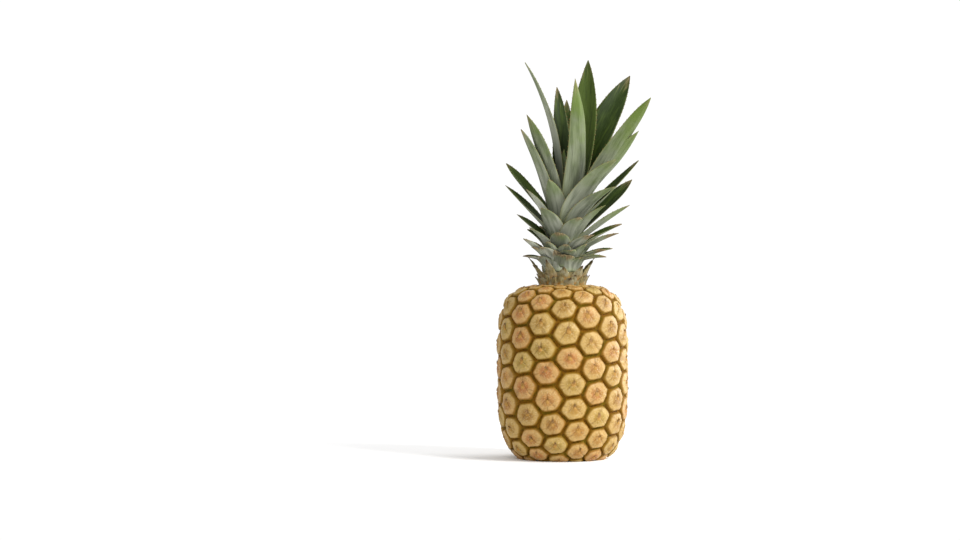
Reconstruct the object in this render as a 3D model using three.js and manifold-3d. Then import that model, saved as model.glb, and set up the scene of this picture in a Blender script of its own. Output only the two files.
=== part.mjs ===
// A whole pineapple standing on its base: the fruit, the cut end of its stalk, the dry bracts at
// the foot of the crown, and the leafy crown. Millimetres, +Z up, the front towards -Y.

import * as THREE from "three";
import { mergeVertices } from "three/addons/utils/BufferGeometryUtils.js";
import Module from "manifold-3d";

const wasm = await Module();
wasm.setup();

const { clamp, degToRad, lerp, smoothstep } = THREE.MathUtils;

// Gap left between neighbouring pieces, so that their 32-bit meshes never touch.
const gap = 0.3;

// Detail finer than this, left where pieces are joined, is smoothed away.
const fuseTolerance = 0.05;

// The barrel of the fruit, measured over the crests of its eyes.
const fruit = {
  radius: 60,
  widestHeight: 78,
  height: 160.5,
  belowBase: 6.4, // how far the full round of the bottom would reach below the resting plane
  bottomSquareness: 3.5, // superellipse powers: 2 is an ellipse, higher is squarer
  topSquareness: 4.2,
  pressDepth: 0.8, // crests that would reach below the base, and are worn flat by it
  hollowRise: 3.4, // height of the shallow hollow around the stalk
  hollowInner: 12,
  hollowOuter: 26,
  topDip: 1, // how far the middle of the top lies below its height
};

// The eyes stand in opposite pairs along one spiral, each pair turned and raised from the last,
// so that neighbours are 3, 5 and 8 pairs apart: the visible spirals of 6, 10 and 16 rows.
const eyes = {
  turn: -67.8, // degrees from one pair to the next
  rise: 2.85, // climb from one pair to the next where the fruit is widest
  firstAzimuth: -81.5, // the eye that the others are counted from
  firstHeight: 71,
  topRadius: 28, // the skin's eyes stop at these radii, under the crown and around the stalk
  bottomRadius: 19,
  scatter: 0.035, // how far a centre strays, in parts of the fruit's radius
  grooveDepth: 3.6,
  shoulderDrop: 0.7, // from the crest down to the rim where the groove's wall starts
  shoulderReach: 0.78, // that rim's place between the centre and the groove
  crestReach: 0.4,
  tipHeight: 2.2, // the bract tip in the middle of each eye
  tipClimb: 0.0608, // how far it is bent towards the crown, in parts of the fruit's radius
};

const stalk = { radius: 11, length: 24, sides: 28 };

// The neck between fruit and crown, ringed by small dry bracts.
const neck = {
  seatRadius: 25,
  seatDepth: 3, // how far the seat is sunk below the top of the fruit
  radius: 22,
  topRadius: 21,
  top: 172,
  sides: 24,
};

// The rings of bracts around the neck: height of their roots, lean from upright, length, and how
// unequal the lengths are.
const bractRings = [
  { root: 159.5, lean: 32, length: 10, uneven: 0.12 },
  { root: 161, lean: 28, length: 10, uneven: 0.12 },
  { root: 164, lean: 30, length: 20, uneven: 0.3 },
];
const bract = {
  perRing: 10,
  width: 14,
  ribThickness: 1.3,
  segments: 2,
  rootDepth: 2, // how deep a bract is set into the neck
  stray: { azimuth: 3, lean: 5, twist: 0.06 },
};

// The short stem of the crown, which narrows upwards and carries the leaves.
const stem = { bottom: neck.top + gap, bottomRadius: 17.5, top: 246, topRadius: 5, sides: 16 };

// Leaves that stand out, one a row: azimuth (0 to the right, -90 to the front), height of the
// root, then reach from the axis, height of the tip, width, how many degrees the leaf starts
// more upright than the line from root to tip, and how many degrees it twists up to its tip.
const standingOut = [
  [-40, 220, 16, 350, 28, -17, -6],
  [58, 232, 47, 372, 33, -15, 24],
  [-158, 232, 37, 365, 16, 19, 0],
  [110, 234, 20, 345, 20, 14, 0],
  [44, 228, 88, 359, 35, 5, 50],
  [-26, 216, 90, 330, 27, 2, -34],
  [100, 230, 16, 320, 19, 2, 0],
  [84, 222, 58, 336, 21, 8, 20],
  [118, 214, 52, 300, 19, 8, 0],
  [72, 210, 78, 290, 19, 12, 0],
  [-42, 211, 64, 274, 33, 20, 0],
  [-38, 210, 60, 250, 27, 17, 0],
  [-138, 222, 42, 316, 20, 9, 12],
  [-150, 214, 43, 303, 19, 9, 10],
  [-22, 224, 74, 301, 24, -3, -30],
  [10, 212, 72, 276, 19, -3, 25],
  [26, 203, 73, 259, 22, -2, 35],
  [156, 216, 58, 274, 19, 0, -25],
  [170, 207, 54, 253, 18, 0, -20],
  [-6, 198, 62, 234, 15, 2, -25],
  [166, 197, 44, 226, 16, 3, -20],
  [18, 192, 58, 217, 15, 7, 20],
  [-14, 189, 53, 208, 13, 8, -20],
  [-165, 181, 38, 203, 15, 6, 15],
  [8, 184, 47, 194, 13, 8, 15],
  [-24, 182, 44, 186, 13, 10, -15],
  [176, 182, 37, 187, 14, 8, -15],
  [-112, 212, 28, 257, 22, 12, 0],
  [-62, 199, 34, 222, 22, 16, 0],
  [-122, 203, 35, 231, 21, 14, 0],
  [-98, 191, 33, 208, 20, 16, 0],
  [-46, 189, 40, 206, 18, 16, 0],
  [-74, 182, 33, 192, 17, 18, 0],
  [-128, 182, 35, 195, 17, 18, 0],
];

// The other leaves follow one spiral up the stem, and fill the sides between those above.
const spiral = {
  count: 84,
  turn: 137.508,
  phase: 260,
  firstRoot: 177.5,
  lastRoot: 224,
  crowding: 1.25, // above 1, the leaves stand closer at the foot of the crown
  clearTurn: 26, // no spiral leaf stands nearer than this to one of those above
  clearHeight: [4, 14], // at the foot of the crown, and at its top
  reach: [33, 42, 52, 60, 64],
  tip: [188, 203, 228, 258, 292],
  width: [14, 15, 17, 19, 20],
  lift: [20, 18, 14, 11, 9],
  leftShortening: 0.28, // the crown reaches less far to the left
  stray: { azimuth: 8, reach: 0.12, tip: 8, width: 0.1, twist: 14 },
};

const leaf = {
  segmentLength: 19,
  rimThickness: 0.6,
  ribThickness: 1.7,
  tipWidth: 0.7,
  sheath: 17, // width of the clasping foot of even the narrowest leaf
  sheathEnd: 0.28, // share of the length where the foot has narrowed to the blade
  channel: 0.34, // height of the raised edges in parts of the half width
  fullness: 3, // the higher, the nearer to its tip a blade keeps its width
  rootPlace: 0.8, // where a leaf starts, in parts of the stem's radius
  strayTip: 2.5,
};

// Rings of short leaves: broad ones hide the foot of the stem, and young ones stand in its heart.
const leafRings = [
  { count: 10, root: 174.5, reach: 25.5, tip: 189, width: 18, lift: 26 },
  { count: 5, root: 238, reach: 7, tip: 286, width: 9, lift: 6 },
];
const ringStray = { azimuth: 7, reach: 2, tip: 4 };

// A repeatable draw between -1 and 1 for any whole number.
function draw(number) {
  const wave = Math.sin(number * 12.9898) * 43758.5453;
  return 2 * (wave - Math.floor(wave)) - 1;
}

function pick(values, share) {
  const place = clamp(share, 0, 1) * (values.length - 1);
  const index = Math.min(Math.floor(place), values.length - 2);
  return lerp(values[index], values[index + 1], place - index);
}

function meshGeometry(vertices, triangles) {
  const geometry = new THREE.BufferGeometry();
  geometry.setAttribute("position", new THREE.Float32BufferAttribute(vertices.flat(), 3));
  geometry.setIndex(triangles.flat());
  return geometry;
}

function toSolid(geometry) {
  const bare = geometry.clone();
  bare.deleteAttribute("normal");
  bare.deleteAttribute("uv");
  const merged = mergeVertices(bare, 1e-4);
  const vertProperties = new Float32Array(merged.attributes.position.array);
  const triVerts = new Uint32Array(merged.index.array);
  return new wasm.Manifold(new wasm.Mesh({ numProp: 3, vertProperties, triVerts }));
}

function toGeometry(solid) {
  const mesh = solid.getMesh();
  const geometry = new THREE.BufferGeometry();
  geometry.setAttribute("position", new THREE.BufferAttribute(mesh.vertProperties, 3));
  geometry.setIndex(new THREE.BufferAttribute(mesh.triVerts, 1));
  geometry.computeVertexNormals();
  return geometry;
}

// Joins solids to one body: pockets sealed between them are filled, and loose scraps dropped.
function fuse(solids) {
  const joined = solids.reduce((whole, solid) => whole.add(solid)).simplify(fuseTolerance);
  const bodies = joined.decompose();
  return bodies.reduce((one, other) => (other.volume() > one.volume() ? other : one));
}

function uprightCylinder(bottomRadius, topRadius, bottom, top, sides) {
  const geometry = new THREE.CylinderGeometry(topRadius, bottomRadius, top - bottom, sides);
  geometry.rotateX(Math.PI / 2);
  geometry.translate(0, 0, (top + bottom) / 2);
  return geometry;
}

// The fruit's outline from base to top. Each point has a climb: the way along the outline over
// the radius, summed up. Equal steps of turn and climb keep their shape all over the skin.
function outlineOfFruit() {
  const points = [];
  const steps = 360;
  for (let step = 0; step <= steps; step += 1) {
    const angle = lerp(-89.6, 89.6, step / steps) * (Math.PI / 180);
    const upper = angle > 0;
    const power = 2 / (upper ? fruit.topSquareness : fruit.bottomSquareness);
    const half = upper ? fruit.height - fruit.widestHeight : fruit.widestHeight + fruit.belowBase;
    const radius = fruit.radius * Math.cos(angle) ** power;
    const round = fruit.widestHeight + Math.sign(angle) * half * Math.abs(Math.sin(angle)) ** power;
    const hollow = 1 - smoothstep(radius, fruit.hollowInner, fruit.hollowOuter);
    const pressed = fruit.hollowRise * hollow - fruit.pressDepth;
    points.push({ radius, height: upper ? round : Math.max(round, pressed), climb: 0 });
  }
  for (let step = 1; step <= steps; step += 1) {
    const here = points[step];
    const last = points[step - 1];
    const way = Math.hypot(here.radius - last.radius, here.height - last.height);
    here.climb = last.climb + (2 * way) / (here.radius + last.radius);
  }
  return points;
}

const outline = outlineOfFruit();

function outlineAt(climb) {
  const next = clamp(outline.findIndex((point) => point.climb > climb), 1, outline.length - 1);
  const low = outline[next - 1];
  const high = outline[next];
  const share = (climb - low.climb) / (high.climb - low.climb);
  return new THREE.Vector2(
    lerp(low.radius, high.radius, share),
    lerp(low.height, high.height, share),
  );
}

// A point of the skin, raised from the outline by an offset given for the widest place.
function skinPoint(turn, climb, offset) {
  const nudge = 0.02;
  const along = outlineAt(climb + nudge).sub(outlineAt(climb - nudge)).normalize();
  const point = outlineAt(climb);
  const raised = offset * (point.x / fruit.radius);
  const radius = point.x + along.y * raised;
  const height = Math.max(0, point.y - along.x * raised);
  return [radius * Math.cos(turn), radius * Math.sin(turn), height];
}

// The six neighbours of an eye, anticlockwise as seen from outside: pairs onward along the
// spiral, and whether the neighbour is the other one of its pair.
const neighbours = [
  { pairs: 5, crossed: false },
  { pairs: 8, crossed: true },
  { pairs: 3, crossed: true },
  { pairs: -5, crossed: false },
  { pairs: -8, crossed: true },
  { pairs: -3, crossed: true },
];

function eyeScatter(pair, twin) {
  const number = 2 * pair + twin;
  return {
    turn: eyes.scatter * draw(number + 0.3),
    climb: eyes.scatter * draw(number + 0.7),
  };
}

function eyeName(pair, twin) {
  return `${pair}/${twin}`;
}

function fruitSkin() {
  const lowestClimb = outline.find((point) => point.radius > eyes.bottomRadius).climb;
  const highestClimb = outline.findLast((point) => point.radius > eyes.topRadius).climb;
  const firstClimb = outline.find((point) => point.height > eyes.firstHeight).climb;
  const pairClimb = eyes.rise / fruit.radius;
  const pairTurn = degToRad(eyes.turn);
  const lowestPair = Math.ceil((lowestClimb - firstClimb) / pairClimb);
  const highestPair = Math.floor((highestClimb - firstClimb) / pairClimb);
  const vertices = [];
  const triangles = [];
  const corners = new Map();
  const edges = new Map();

  const addVertex = (turn, climb, offset) => vertices.push(skinPoint(turn, climb, offset)) - 1;

  const addEye = (pair, twin) => {
    const own = eyeScatter(pair, twin);
    const turn = degToRad(eyes.firstAzimuth) + pair * pairTurn + twin * Math.PI + own.turn;
    const climb = firstClimb + pair * pairClimb + own.climb;
    const around = neighbours.map(({ pairs, crossed }) => {
      const otherTwin = crossed ? 1 - twin : twin;
      const other = eyeScatter(pair + pairs, otherTwin);
      const swing = pairs * pairTurn + (crossed ? Math.PI : 0);
      const nearest = swing - 2 * Math.PI * Math.round(swing / (2 * Math.PI));
      return {
        name: eyeName(pair + pairs, otherTwin),
        turn: nearest + other.turn - own.turn,
        climb: pairs * pairClimb + other.climb - own.climb,
      };
    });
    const rim = around.map((one, index) => {
      const two = around[(index + 5) % 6];
      const spot = { turn: (one.turn + two.turn) / 3, climb: (one.climb + two.climb) / 3 };
      const key = [eyeName(pair, twin), one.name, two.name].sort().join(" ");
      if (!corners.has(key)) {
        corners.set(key, addVertex(turn + spot.turn, climb + spot.climb, -eyes.grooveDepth));
      }
      return { ...spot, vertex: corners.get(key), beyond: one.name };
    });
    const ring = (reach, drop) => rim.map((corner) => (
      addVertex(turn + corner.turn * reach, climb + corner.climb * reach, -drop)
    ));
    const shoulder = ring(eyes.shoulderReach, eyes.shoulderDrop);
    const crest = ring(eyes.crestReach, 0);
    const tip = addVertex(turn, climb + eyes.tipClimb, eyes.tipHeight);
    rim.forEach((corner, index) => {
      const after = (index + 1) % 6;
      const groove = [corner.vertex, rim[after].vertex];
      triangles.push([groove[0], groove[1], shoulder[after]]);
      triangles.push([groove[0], shoulder[after], shoulder[index]]);
      triangles.push([shoulder[index], shoulder[after], crest[after]]);
      triangles.push([shoulder[index], crest[after], crest[index]]);
      triangles.push([crest[index], crest[after], tip]);
      edges.set(groove.join(" "), groove);
    });
  };

  for (let pair = lowestPair; pair <= highestPair; pair += 1) {
    addEye(pair, 0);
    addEye(pair, 1);
  }

  // Grooves with an eye on one side only edge the skin: they are closed over the axis.
  const base = vertices.push([0, 0, fruit.hollowRise - fruit.pressDepth]) - 1;
  const top = vertices.push([0, 0, fruit.height - fruit.topDip]) - 1;
  for (const [start, end] of edges.values()) {
    if (!edges.has(`${end} ${start}`)) {
      const pole = vertices[start][2] < fruit.widestHeight ? base : top;
      triangles.push([end, start, pole]);
    }
  }
  return toSolid(meshGeometry(vertices, triangles));
}

function makeFruit() {
  const boreRadius = stalk.radius + gap;
  const bore = uprightCylinder(boreRadius, boreRadius, -5, stalk.length + gap, stalk.sides);
  const seatFloor = fruit.height - neck.seatDepth;
  const seatRadius = neck.seatRadius + gap;
  const seat = uprightCylinder(seatRadius, seatRadius, seatFloor, fruit.height + 5, neck.sides);
  return fuse([fruitSkin().subtract(toSolid(bore)).subtract(toSolid(seat))]);
}

function makeStalkEnd() {
  return toSolid(uprightCylinder(stalk.radius, stalk.radius, 0, stalk.length, stalk.sides));
}

// A channelled blade with a clasping foot. Its ring of six points runs over the inner face from
// left to right and back over the outer face; both faces are split into triangles alike.
function bladeSolid(curve, side, shape) {
  const vertices = [];
  const triangles = [];
  const rings = shape.segments + 1;
  for (let ring = 0; ring < rings; ring += 1) {
    const along = ring / shape.segments;
    const centre = curve.getPoint(along);
    const tangent = curve.getTangent(along);
    const inward = new THREE.Vector3().crossVectors(tangent, side).normalize();
    const across = new THREE.Vector3().crossVectors(tangent, inward);
    inward.applyAxisAngle(tangent, shape.twist * along);
    across.applyAxisAngle(tangent, shape.twist * along);
    const half = shape.halfWidth(along);
    const rim = half * shape.channel;
    const thickness = lerp(shape.ribThickness, leaf.rimThickness, along);
    const section = [
      [-half, rim],
      [0, 0],
      [half, rim],
      [half, rim - leaf.rimThickness],
      [0, -thickness],
      [-half, rim - leaf.rimThickness],
    ];
    for (const [sideways, inwards] of section) {
      const point = centre.clone().addScaledVector(across, sideways).addScaledVector(inward, inwards);
      vertices.push(point.toArray());
    }
  }
  for (let ring = 0; ring < rings - 1; ring += 1) {
    for (let place = 0; place < 6; place += 1) {
      const a = ring * 6 + place;
      const b = ring * 6 + ((place + 1) % 6);
      const c = b + 6;
      const d = a + 6;
      const outerFace = place === 3 || place === 4;
      triangles.push(...(outerFace ? [[a, b, d], [b, c, d]] : [[a, b, c], [a, c, d]]));
    }
  }
  const cap = [[0, 1, 4], [0, 4, 5], [1, 2, 3], [1, 3, 4]];
  const tipStart = (rings - 1) * 6;
  for (const [a, b, c] of cap) {
    triangles.push([a, c, b]);
    triangles.push([tipStart + a, tipStart + b, tipStart + c]);
  }
  return toSolid(meshGeometry(vertices, triangles));
}

function stemRadius(height) {
  return lerp(stem.bottomRadius, stem.topRadius, smoothstep(height, stem.bottom, stem.top));
}

function leafSolid([azimuth, root, reach, tip, width, lift, twist], index) {
  const turn = degToRad(azimuth);
  const outward = new THREE.Vector3(Math.cos(turn), Math.sin(turn), 0);
  const side = new THREE.Vector3(-outward.y, outward.x, 0);
  const startReach = stemRadius(root) * leaf.rootPlace;
  const start = outward.clone().multiplyScalar(startReach).setZ(root);
  const end = outward.clone().multiplyScalar(reach).setZ(tip);
  end.addScaledVector(side, leaf.strayTip * draw(index + 0.5));
  const chord = start.distanceTo(end);
  const lean = Math.atan2(reach - startReach, tip - root) - degToRad(lift);
  const middle = start.clone();
  middle.addScaledVector(outward, 0.5 * chord * Math.sin(lean));
  middle.z += 0.5 * chord * Math.cos(lean);
  const curve = new THREE.QuadraticBezierCurve3(start, middle, end);
  const foot = Math.max(width * 0.8, Math.min(leaf.sheath, 1.5 * stemRadius(root)));
  const halfWidth = (along) => {
    const blade = width * (1 - along ** leaf.fullness) ** 0.85;
    const narrowed = smoothstep(along, 0, leaf.sheathEnd);
    return Math.max(leaf.tipWidth, lerp(foot, blade, narrowed)) / 2;
  };
  return bladeSolid(curve, side, {
    halfWidth,
    segments: clamp(Math.round(chord / leaf.segmentLength), 3, 7),
    ribThickness: leaf.ribThickness,
    channel: leaf.channel,
    twist: degToRad(twist),
  });
}

function turnBetween(one, other) {
  return Math.abs(((one - other + 540) % 360) - 180);
}

function spiralLeaves() {
  const { stray } = spiral;
  const leaves = [];
  for (let index = 0; index < spiral.count; index += 1) {
    const share = index / (spiral.count - 1);
    const azimuth = (spiral.phase + index * spiral.turn) % 360;
    const root = lerp(spiral.firstRoot, spiral.lastRoot, share ** spiral.crowding);
    const crowded = standingOut.some(([otherAzimuth, otherRoot]) => (
      turnBetween(azimuth, otherAzimuth) < spiral.clearTurn
      && Math.abs(root - otherRoot) < pick(spiral.clearHeight, share)
    ));
    if (!crowded) {
      const leftward = Math.max(0, -Math.cos(degToRad(azimuth)));
      const reach = pick(spiral.reach, share) * (1 - spiral.leftShortening * leftward);
      leaves.push([
        azimuth + stray.azimuth * draw(index + 0.1),
        root,
        reach * (1 + stray.reach * draw(index + 0.2)),
        pick(spiral.tip, share) + stray.tip * share * draw(index + 0.3),
        pick(spiral.width, share) * (1 + stray.width * draw(index + 0.4)),
        pick(spiral.lift, share),
        stray.twist * draw(index + 0.6),
      ]);
    }
  }
  return leaves;
}

function ringLeaves({ count, root, reach, tip, width, lift }, ring) {
  return Array.from({ length: count }, (unused, place) => {
    const number = 20 * ring + place;
    return [
      (360 / count) * place + ringStray.azimuth * draw(number + 0.15),
      root,
      reach + ringStray.reach * draw(number),
      tip + ringStray.tip * draw(number + 0.5),
      width,
      lift,
      0,
    ];
  });
}

function makeCrown() {
  const middle = uprightCylinder(stem.bottomRadius, stem.topRadius, stem.bottom, stem.top, stem.sides);
  const leaves = [...standingOut, ...spiralLeaves(), ...leafRings.flatMap(ringLeaves)].map(leafSolid);
  return fuse([toSolid(middle), ...leaves]);
}

function bractSolid({ root, lean, length, uneven }, azimuth, number) {
  const turn = degToRad(azimuth);
  const outward = new THREE.Vector3(Math.cos(turn), Math.sin(turn), 0);
  const side = new THREE.Vector3(-outward.y, outward.x, 0);
  const tilt = degToRad(lean + bract.stray.lean * draw(number + 0.2));
  const reach = length * (1 + uneven * draw(number + 0.4));
  const start = outward.clone().multiplyScalar(neck.radius - bract.rootDepth).setZ(root);
  const middle = start.clone().addScaledVector(outward, 0.5 * reach * Math.sin(tilt * 0.7));
  middle.z += 0.5 * reach * Math.cos(tilt * 0.7);
  const end = start.clone().addScaledVector(outward, reach * Math.sin(tilt));
  end.z += reach * Math.cos(tilt);
  const curve = new THREE.QuadraticBezierCurve3(start, middle, end);
  const halfWidth = (along) => Math.max(leaf.tipWidth, bract.width * (1 - along ** 1.6)) / 2;
  return bladeSolid(curve, side, {
    halfWidth,
    segments: bract.segments,
    ribThickness: bract.ribThickness,
    channel: leaf.channel,
    twist: bract.stray.twist * draw(number + 0.6),
  });
}

function makeBaseBracts() {
  const bottom = fruit.height - neck.seatDepth + gap;
  const collar = uprightCylinder(neck.radius, neck.topRadius, bottom, neck.top, neck.sides);
  const bracts = bractRings.flatMap((row, ring) => (
    Array.from({ length: bract.perRing }, (unused, place) => {
      const number = ring * bract.perRing + place;
      const turn = (360 / bract.perRing) * (place + ring / bractRings.length);
      return bractSolid(row, turn + bract.stray.azimuth * draw(number), number);
    })
  ));
  return fuse([toSolid(collar), ...bracts]);
}

const group = new THREE.Group();

function addPiece(name, solid, colour, roughness) {
  const material = new THREE.MeshStandardMaterial({ color: colour, roughness, metalness: 0 });
  const mesh = new THREE.Mesh(toGeometry(solid), material);
  mesh.name = name;
  group.add(mesh);
}

addPiece("fruit", makeFruit(), 0xc9a45c, 0.7);
addPiece("stalk_end", makeStalkEnd(), 0xb79b6a, 0.9);
addPiece("crown_base_bracts", makeBaseBracts(), 0x8a6238, 0.85);
addPiece("crown", makeCrown(), 0x7f9070, 0.6);

export default group;
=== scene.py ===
import math
from types import SimpleNamespace

import bmesh
import bpy
import numpy as np
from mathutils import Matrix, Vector, noise


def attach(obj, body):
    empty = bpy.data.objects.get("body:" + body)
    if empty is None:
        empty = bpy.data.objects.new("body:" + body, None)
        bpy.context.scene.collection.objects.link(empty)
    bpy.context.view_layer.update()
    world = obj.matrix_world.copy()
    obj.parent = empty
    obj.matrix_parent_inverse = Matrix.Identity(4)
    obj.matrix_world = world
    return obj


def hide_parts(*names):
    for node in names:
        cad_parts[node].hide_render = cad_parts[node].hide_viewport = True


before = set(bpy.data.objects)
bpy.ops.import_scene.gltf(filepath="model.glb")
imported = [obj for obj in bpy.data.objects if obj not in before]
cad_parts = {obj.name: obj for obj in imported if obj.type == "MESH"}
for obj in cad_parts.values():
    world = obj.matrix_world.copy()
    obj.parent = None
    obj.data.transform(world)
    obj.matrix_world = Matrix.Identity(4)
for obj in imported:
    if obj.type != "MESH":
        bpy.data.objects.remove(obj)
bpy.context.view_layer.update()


# The camera stands two metres in front of the pineapple, level, a little above the fruit's top,
# and is turned a little to the left so that the fruit stands right of the middle.
camera_data = bpy.data.cameras.new("camera")
camera_data.sensor_width = 36
camera_data.lens = 81
camera = bpy.data.objects.new("camera", camera_data)
camera.location = (0, -2, 0.174)
camera.rotation_euler = (math.pi / 2, 0, math.radians(2.187))
bpy.context.scene.collection.objects.link(camera)
bpy.context.scene.camera = camera


# The fruit is one hard rind over a barrel of flesh. Its eyes are the ends of single fruitlets,
# which stand in opposite pairs along one spiral and press each other into six-sided plates.
# Sizes are in millimetres until a mesh is made, and heights are above the floor.
MM = 0.001

fruit = SimpleNamespace(
    radius=60,
    widest_height=78,
    height=160.5,
    below_base=6.4,
    bottom_squareness=3.5,
    top_squareness=4.2,
    press_depth=0.8,
    hollow_rise=3.4,
    hollow_inner=12,
    hollow_outer=26,
    top_dip=1,
)

eyes = SimpleNamespace(
    turn=math.radians(-67.8),
    rise=2.85,
    first_azimuth=math.radians(-81.5),
    first_height=71,
    top_radius=20,
    bottom_radius=12.5,
    scatter=0.035,
    groove_depth=3.6,
    edge_points=8,
    rounding=5,
    reaches=(
        0.05, 0.1, 0.16, 0.22, 0.28, 0.34, 0.4, 0.46, 0.52, 0.58,
        0.64, 0.7, 0.75, 0.79, 0.83, 0.87, 0.91, 0.95, 1,
    ),
)

# The six neighbours of an eye: pairs onward along the spiral, and whether it is the other twin.
neighbour_pairs = np.array([5, 8, 3, -5, -8, -3])
neighbour_crossed = np.array([0, 1, 1, 0, 1, 1])

# What rises and sinks on an eye's plate: the bract below its middle, the sepals above it, the
# creases and the pit between them, and the wrinkles towards the rim.
eye_form = SimpleNamespace(
    middle_rise=0.6,
    middle_to_rim=1.8,
    rim_drop=1.2,
    bract_half_width=8.4,
    bract_length=9.5,
    bract_rise=0.4,
    keel_rise=0.45,
    keel_width=1.5,
    dip_depth=0.6,
    dip_width=2.6,
    sepal_rise=0.75,
    sepal_across=2.1,
    sepal_above=1.9,
    crease_depth=0.5,
    crease_width=0.5,
    pit_depth=0.6,
    pit_width=1.1,
    wrinkle_rise=0.22,
    lump_rise=0.55,
    lump_size=8,
    grit_rise=0.28,
    grit_size=2.2,
)


def draw(number):
    """A repeatable draw between -1 and 1 for any number."""
    wave = np.sin(np.asarray(number, float) * 12.9898) * 43758.5453
    return 2 * (wave - np.floor(wave)) - 1


def ease(value, low, high):
    """Rises smoothly from 0 at low to 1 at high."""
    share = np.clip((value - low) / (high - low), 0, 1)
    return share * share * (3 - 2 * share)


def fruit_outline():
    """Radius, height and climb from base to top. The climb sums the way over the radius."""
    angle = np.radians(np.linspace(-89.6, 89.6, 361))
    upper = angle > 0
    power = 2 / np.where(upper, fruit.top_squareness, fruit.bottom_squareness)
    above = fruit.height - fruit.widest_height
    below = fruit.widest_height + fruit.below_base
    half = np.where(upper, above, below)
    radius = fruit.radius * np.cos(angle) ** power
    height = fruit.widest_height + np.sign(angle) * half * np.abs(np.sin(angle)) ** power
    hollow = 1 - ease(radius, fruit.hollow_inner, fruit.hollow_outer)
    pressed = fruit.hollow_rise * hollow - fruit.press_depth
    height = np.where(upper, height, np.maximum(height, pressed))
    way = np.hypot(np.diff(radius), np.diff(height))
    climb = np.concatenate([[0], np.cumsum(2 * way / (radius[1:] + radius[:-1]))])
    return radius, height, climb


outline_radius, outline_height, outline_climb = fruit_outline()


def on_skin(turn, climb, offset):
    """A point of the skin in millimetres, raised by an offset given for the widest place."""
    nudge = 0.02
    radius, radius_before, radius_after = (
        np.interp(climb + step, outline_climb, outline_radius) for step in (0, -nudge, nudge)
    )
    height, height_before, height_after = (
        np.interp(climb + step, outline_climb, outline_height) for step in (0, -nudge, nudge)
    )
    outward = radius_after - radius_before
    upward = height_after - height_before
    raised = offset * radius / fruit.radius / np.hypot(outward, upward)
    out = radius + upward * raised
    level = np.maximum(0, height - outward * raised)
    return np.stack([out * np.cos(turn), out * np.sin(turn), level], -1)


def grain(points, size, octaves):
    """Fractal noise between about -1 and 1 at points in millimetres, with lumps of that size."""
    flat = np.asarray(points).reshape(-1, 3) / size
    values = [noise.fractal(Vector(point), 1, 2, octaves) for point in flat]
    return np.array(values).reshape(np.shape(points)[:-1])


class Heap:
    """Points in millimetres, faces and point values of many like shapes, for one mesh."""

    def __init__(self):
        self.points = []
        self.faces = []
        self.values = {}
        self.count = 0

    def add(self, points, faces, **values):
        points = np.asarray(points, float).reshape(-1, 3)
        self.points.append(points)
        self.faces.extend((np.asarray(face) + self.count).tolist() for face in faces)
        for name, value in values.items():
            flat = np.broadcast_to(np.asarray(value, float).reshape(-1), len(points))
            self.values.setdefault(name, []).append(flat)
        self.count += len(points)

    def piece(self, name):
        mesh = bpy.data.meshes.new(name)
        mesh.from_pydata((np.concatenate(self.points) * MM).tolist(), [], self.faces)
        for label, parts in self.values.items():
            attribute = mesh.attributes.new(label, "FLOAT", "POINT")
            attribute.data.foreach_set("value", np.concatenate(parts).astype(np.float32))
        mesh.update()
        mesh.shade_smooth()
        made = bpy.data.objects.new(name, mesh)
        bpy.context.scene.collection.objects.link(made)
        return made


def first_eye_climb():
    """The climb at which the first pair of eyes stands, from which the others are counted."""
    return outline_climb[outline_height > eyes.first_height][0]


def eye_centres():
    """The number, turn and climb of every eye, and its corners as offsets of turn and climb."""
    wide = outline_climb[outline_radius > eyes.bottom_radius]
    topped = outline_climb[outline_radius > eyes.top_radius]
    first_climb = first_eye_climb()
    pair_climb = eyes.rise / fruit.radius
    lowest = math.ceil((wide[0] - first_climb) / pair_climb)
    highest = math.floor((topped[-1] - first_climb) / pair_climb)
    pair, twin = (grid.ravel() for grid in np.meshgrid(np.arange(lowest, highest + 1), [0, 1]))
    number = 2 * pair + twin
    stray = np.stack([draw(number + 0.3), draw(number + 0.7)], -1) * eyes.scatter

    crossed_twin = (twin[:, None] + neighbour_crossed) % 2
    other = 2 * (pair[:, None] + neighbour_pairs) + crossed_twin
    other_stray = np.stack([draw(other + 0.3), draw(other + 0.7)], -1) * eyes.scatter
    swing = neighbour_pairs * eyes.turn + neighbour_crossed * math.pi
    swing = swing - 2 * math.pi * np.round(swing / (2 * math.pi))
    step = np.stack([swing, neighbour_pairs * pair_climb], -1)
    around = step[None] + other_stray - stray[:, None]
    corners = (around + np.roll(around, 1, axis=1)) / 3

    turn = eyes.first_azimuth + pair * eyes.turn + twin * math.pi + stray[:, 0]
    climb = first_climb + pair * pair_climb + stray[:, 1]
    return number, turn, climb, corners


def tip_height(number):
    """How far above the middle of an eye its bract ends in a point, in millimetres."""
    return 1.4 + 0.8 * draw(number + 0.21)


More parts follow.
